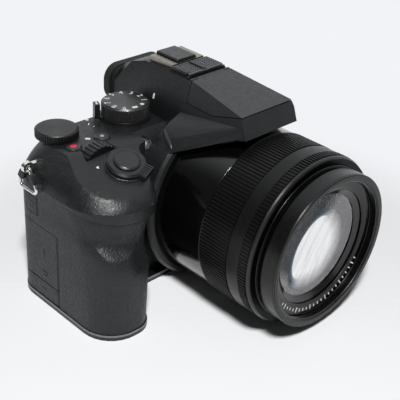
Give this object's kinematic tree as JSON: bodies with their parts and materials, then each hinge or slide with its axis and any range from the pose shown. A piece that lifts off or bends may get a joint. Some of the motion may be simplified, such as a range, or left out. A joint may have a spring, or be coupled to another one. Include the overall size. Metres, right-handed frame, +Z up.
{
  "type": "bridge camera",
  "caption": "Bridge camera with a fixed superzoom lens, deep hand grip, viewfinder hump with pop-up flash, control dials and a monitor that swings out.",
  "frame": {"origin": "mouth of the tripod socket on the base, straight under the lens axis", "axes": "+Z up, the lens looks along -Y, the grip is on the -X side"},
  "size_m": [0.1466, 0.1347, 0.1019],
  "materials": {
    "body_plastic": "fine texture",
    "deck_plastic": "fine texture",
    "base_plastic": "fine texture",
    "grip_cover": "pebbled leatherette",
    "lens_gloss": "gloss black",
    "lens_satin": "satin dark grey",
    "lens_matte": "matt black",
    "ring_rib": "ribbed black",
    "front_glass": "coated glass",
    "inner_glass": "coated glass",
    "screen_glass": "gloss black",
    "control_black": "satin black",
    "button_satin": "satin dark grey",
    "eyecup_rubber": "matt rubber",
    "shoe_metal": "warm brushed",
    "chrome": "polished",
    "steel": "plain",
    "frame_metal": "plain",
    "board_green": "solder mask",
    "cell_grey": "plain",
    "card_blue": "plain",
    "lamp_clear": "clear",
    "flash_clear": "clear prism"
  },
  "bodies": {
    "camera_body": {"front_shell": "body_plastic", "rear_cover": "body_plastic", "top_cover": "deck_plastic", "base_plate": "base_plastic", "grip_skin": "grip_cover", "lens_collar": "body_plastic", "lens_barrel": "lens_gloss", "front_band": "lens_satin", "rear_group": "inner_glass", "image_sensor": "frame_metal", "main_board": "board_green", "chassis": "frame_metal", "battery": "cell_grey", "memory_card": "card_blue", "evf_display": "control_black", "eyepiece_lens": "inner_glass", "eyecup": "eyecup_rubber", "hot_shoe": "shoe_metal", "mic_grille": "control_black", "af_lamp": "lamp_clear", "strap_lugs": "chrome", "tripod_socket": "steel", "base_screws": "steel", "hinge_pins": "steel"},
    "zoom_ring": {"zoom_ring": "ring_rib"},
    "focus_ring": {"focus_ring": "ring_rib"},
    "front_barrel": {"front_barrel": "lens_matte", "front_trim": "lens_matte", "front_glass": "front_glass"},
    "zoom_group": {"zoom_group": "inner_glass"},
    "mode_dial": {"mode_dial": "control_black"},
    "power_lever": {"power_lever": "control_black"},
    "rear_dial": {"rear_dial": "button_satin"},
    "drive_dial": {"drive_dial": "control_black"},
    "front_dial": {"front_dial": "control_black"},
    "shutter_button": {"shutter_button": "button_satin"},
    "zoom_lever": {"zoom_lever": "control_black"},
    "record_button": {"record_button": "button_satin"},
    "fn_button": {"fn_button": "button_satin"},
    "flash_unit": {"flash_lid": "deck_plastic", "flash_window": "flash_clear"},
    "flash_button": {"flash_button": "control_black"},
    "shoe_cover": {"shoe_cover": "control_black"},
    "card_door": {"card_door": "grip_cover"},
    "remote_cover": {"remote_cover": "eyecup_rubber"},
    "dc_cover": {"dc_cover": "eyecup_rubber"},
    "battery_door": {"battery_door": "base_plastic"},
    "port_cover": {"port_cover": "body_plastic"},
    "monitor": {"monitor": "body_plastic", "screen": "screen_glass"},
    "lock_button": {"lock_button": "control_black"},
    "focus_lever": {"focus_lever": "control_black"},
    "pad_ring": {"pad_ring": "control_black"},
    "pad_centre": {"pad_centre": "button_satin"},
    "play_button": {"play_button": "control_black"},
    "diopter_dial": {"diopter_dial": "control_black"},
    "strap_ring_grip": {"strap_ring_grip": "chrome"},
    "strap_ring_free": {"strap_ring_free": "chrome"}
  },
  "joints": [
    {"name": "zoom_ring_turn", "type": "hinge", "parent": "camera_body", "child": "zoom_ring", "pos_m": [0, -0.064, 0.0418], "axis": [0, -1, 0], "continuous": true},
    {"name": "focus_ring_turn", "type": "hinge", "parent": "camera_body", "child": "focus_ring", "pos_m": [0, -0.078, 0.0418], "axis": [0, -1, 0], "continuous": true},
    {"name": "barrel_run", "type": "slide", "parent": "camera_body", "child": "front_barrel", "axis": [0, -1, 0], "range_m": [0, 0.018]},
    {"name": "zoom_group_run", "type": "slide", "parent": "camera_body", "child": "zoom_group", "axis": [0, -1, 0], "range_m": [0, 0.014]},
    {"name": "mode_dial_turn", "type": "hinge", "parent": "camera_body", "child": "mode_dial", "pos_m": [-0.0282, 0.0094, 0.0754], "axis": [0, 0, 1], "continuous": true},
    {"name": "power_switch", "type": "hinge", "parent": "camera_body", "child": "power_lever", "pos_m": [-0.0282, 0.0094, 0.0754], "axis": [0, 0, 1], "range_deg": [0, 30]},
    {"name": "rear_dial_turn", "type": "hinge", "parent": "camera_body", "child": "rear_dial", "pos_m": [-0.0648, 0.013, 0.0754], "axis": [0, 0, 1], "continuous": true},
    {"name": "drive_dial_turn", "type": "hinge", "parent": "camera_body", "child": "drive_dial", "pos_m": [0.033, 0.0094, 0.0754], "axis": [0, 0, 1], "continuous": true},
    {"name": "front_dial_turn", "type": "hinge", "parent": "camera_body", "child": "front_dial", "pos_m": [-0.0585, -0.0086, 0.0668], "axis": [0, -1, 0], "continuous": true},
    {"name": "shutter_press", "type": "slide", "parent": "camera_body", "child": "shutter_button", "axis": [0.0765, 0.3007, -0.9506], "range_m": [0, 0.0012], "stiffness_N_per_m": 400, "springref_m": -0.001},
    {"name": "zoom_lever_swing", "type": "hinge", "parent": "camera_body", "child": "zoom_lever", "pos_m": [-0.0543, -0.0225, 0.0712], "axis": [-0.0765, -0.3007, 0.9506], "range_deg": [-20, 20], "stiffness_Nm_per_rad": 0.02},
    {"name": "record_press", "type": "slide", "parent": "camera_body", "child": "record_button", "axis": [0, 0, -1], "range_m": [0, 0.0005], "stiffness_N_per_m": 400, "springref_m": -0.001},
    {"name": "fn_press", "type": "slide", "parent": "camera_body", "child": "fn_button", "axis": [0, 0, -1], "range_m": [0, 0.0005], "stiffness_N_per_m": 400, "springref_m": -0.001},
    {"name": "flash_lift", "type": "hinge", "parent": "camera_body", "child": "flash_unit", "pos_m": [0, -0.0166, 0.09785], "axis": [-1, 0, 0], "range_deg": [0, 60]},
    {"name": "flash_press", "type": "slide", "parent": "camera_body", "child": "flash_button", "axis": [-1, 0, 0], "range_m": [0, 0.0008], "stiffness_N_per_m": 400, "springref_m": -0.001},
    {"name": "shoe_cover_slide", "type": "slide", "parent": "camera_body", "child": "shoe_cover", "axis": [0, 1, 0], "range_m": [0, 0.017]},
    {"name": "card_door_swing", "type": "hinge", "parent": "camera_body", "child": "card_door", "pos_m": [-0.0831, -0.0111, 0.026], "axis": [0, 0, 1], "range_deg": [0, 95]},
    {"name": "remote_cover_swing", "type": "hinge", "parent": "camera_body", "child": "remote_cover", "pos_m": [-0.0831, 0.0032, 0.05], "axis": [0, 0, 1], "range_deg": [0, 90]},
    {"name": "dc_cover_swing", "type": "hinge", "parent": "camera_body", "child": "dc_cover", "pos_m": [-0.0831, -0.0111, 0.007], "axis": [0, 0, 1], "range_deg": [0, 90]},
    {"name": "battery_door_swing", "type": "hinge", "parent": "camera_body", "child": "battery_door", "pos_m": [-0.059, -0.01, 0.0014], "axis": [0, -1, 0], "range_deg": [0, 90]},
    {"name": "port_cover_swing", "type": "hinge", "parent": "camera_body", "child": "port_cover", "pos_m": [0.0523, -0.006, 0.03], "axis": [0, 0, -1], "range_deg": [0, 95]},
    {"name": "monitor_swing", "type": "hinge", "parent": "camera_body", "child": "monitor", "pos_m": [0.0494, 0.0213, 0.03], "axis": [0, 0, -1], "range_deg": [0, 180]},
    {"name": "lock_press", "type": "slide", "parent": "camera_body", "child": "lock_button", "axis": [0, -1, 0], "range_m": [0, 0.0005], "stiffness_N_per_m": 400, "springref_m": -0.001},
    {"name": "focus_mode_swing", "type": "hinge", "parent": "camera_body", "child": "focus_lever", "pos_m": [-0.041, 0.021, 0.0465], "axis": [0, 1, 0], "range_deg": [-25, 25]},
    {"name": "pad_press", "type": "slide", "parent": "camera_body", "child": "pad_ring", "axis": [0, -1, 0], "range_m": [0, 0.0004], "stiffness_N_per_m": 400, "springref_m": -0.001},
    {"name": "pad_centre_press", "type": "slide", "parent": "camera_body", "child": "pad_centre", "axis": [0, -1, 0], "range_m": [0, 0.0005], "stiffness_N_per_m": 400, "springref_m": -0.001},
    {"name": "play_press", "type": "slide", "parent": "camera_body", "child": "play_button", "axis": [0, -1, 0], "range_m": [0, 0.0005], "stiffness_N_per_m": 400, "springref_m": -0.001},
    {"name": "diopter_turn", "type": "hinge", "parent": "camera_body", "child": "diopter_dial", "pos_m": [0.017, 0.027, 0.079], "axis": [1, 0, 0], "range_deg": [-60, 60]},
    {"name": "strap_ring_grip_swing", "type": "hinge", "parent": "camera_body", "child": "strap_ring_grip", "pos_m": [-0.086, 0.0055, 0.0696], "axis": [0, 1, 0], "range_deg": [0, 85]},
    {"name": "strap_ring_free_swing", "type": "hinge", "parent": "camera_body", "child": "strap_ring_free", "pos_m": [0.0552, 0.0055, 0.0696], "axis": [0, -1, 0], "range_deg": [0, 85]}
  ],
  "couplings": [
    {"joint": "zoom_group_run", "follows": "barrel_run", "ratio": 0.77778}
  ]
}
